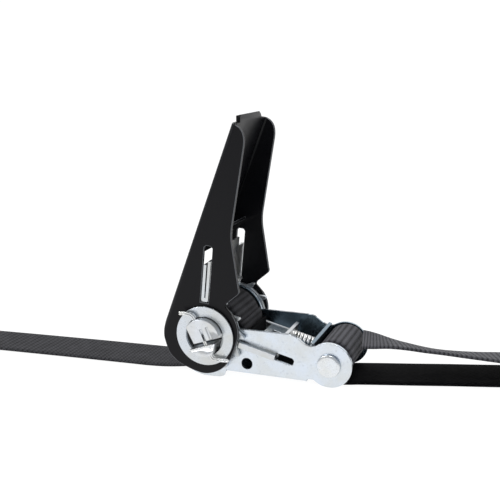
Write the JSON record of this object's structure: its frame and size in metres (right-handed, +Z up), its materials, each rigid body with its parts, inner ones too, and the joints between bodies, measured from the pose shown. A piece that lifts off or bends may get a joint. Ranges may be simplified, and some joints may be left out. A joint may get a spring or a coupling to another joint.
{
  "type": "ratchet tie down",
  "caption": "Webbing tie-down with an open hand ratchet: a U-shaped base, a slotted reel between toothed wheels, a pawl handle, coated end hooks and the spare strap in a roll.",
  "frame": {"origin": "on the floor under the middle of the ratchet, measured without the straps that lie beyond it", "axes": "+X from the reel towards the strap pin, +Y across the webbing to the far side, +Z up"},
  "size_m": [0.4828, 0.0844, 0.1065],
  "materials": {
    "zinc_plate": "bright zinc plate with a faint blue tint",
    "pin_zinc": "bright zinc plate, turned",
    "reel_zinc": "zinc plate, a little dull",
    "wheel_zinc": "zinc plate over pressed teeth",
    "ring_zinc": "bright zinc plate",
    "pin_steel": "bright drawn wire",
    "webbing": "woven polyester, black",
    "black_steel": "satin black coating, brighter on cut edges",
    "pawl_zinc": "zinc plate",
    "spring_steel": "bright spring wire",
    "hook_vinyl": "dipped black vinyl over steel rod",
    "tie_rubber": "matt black rubber band"
  },
  "bodies": {
    "base": {"base_frame": "zinc_plate", "strap_pin": "pin_zinc", "pin_sleeve": "pin_zinc", "fixed_strap_loop": "webbing", "load_strap_run": "webbing", "tail_strap_run": "webbing", "fixed_strap_run": "webbing", "load_hook": "hook_vinyl", "load_hook_loop": "webbing", "fixed_hook": "hook_vinyl", "fixed_hook_loop": "webbing", "tail_roll": "webbing", "roll_tie": "tie_rubber"},
    "reel": {"reel_half_upper": "reel_zinc", "reel_half_lower": "reel_zinc", "ratchet_wheel_near": "wheel_zinc", "ratchet_wheel_far": "wheel_zinc", "retaining_ring_near": "ring_zinc", "retaining_ring_far": "ring_zinc", "split_pin_near": "pin_steel", "split_pin_far": "pin_steel", "webbing_winding": "webbing"},
    "handle": {"handle_frame": "black_steel"},
    "drive_pawl": {"drive_pawl": "pawl_zinc", "drive_pawl_spring": "spring_steel"},
    "lock_pawl": {"lock_pawl": "pawl_zinc", "lock_pawl_spring": "spring_steel"}
  },
  "joints": [
    {"name": "handle_swing", "type": "hinge", "parent": "base", "child": "handle", "pos_m": [-0.0201, 0, 0.0189], "axis": [0, 1, 0], "range_deg": [-60, 67]},
    {"name": "reel_spin", "type": "hinge", "parent": "base", "child": "reel", "pos_m": [-0.0201, 0, 0.0189], "axis": [0, 1, 0], "continuous": true},
    {"name": "drive_pawl_slide", "type": "slide", "parent": "handle", "child": "drive_pawl", "axis": [0.1219, 0, 0.9925], "range_m": [0, 0.0035], "stiffness_N_per_m": 150, "springref_m": -0.004, "deforming": ["drive_pawl_spring"]},
    {"name": "lock_pawl_slide", "type": "slide", "parent": "base", "child": "lock_pawl", "axis": [0.9627, 0, -0.2706], "range_m": [0, 0.0035], "stiffness_N_per_m": 150, "springref_m": -0.004, "deforming": ["lock_pawl_spring"]}
  ]
}
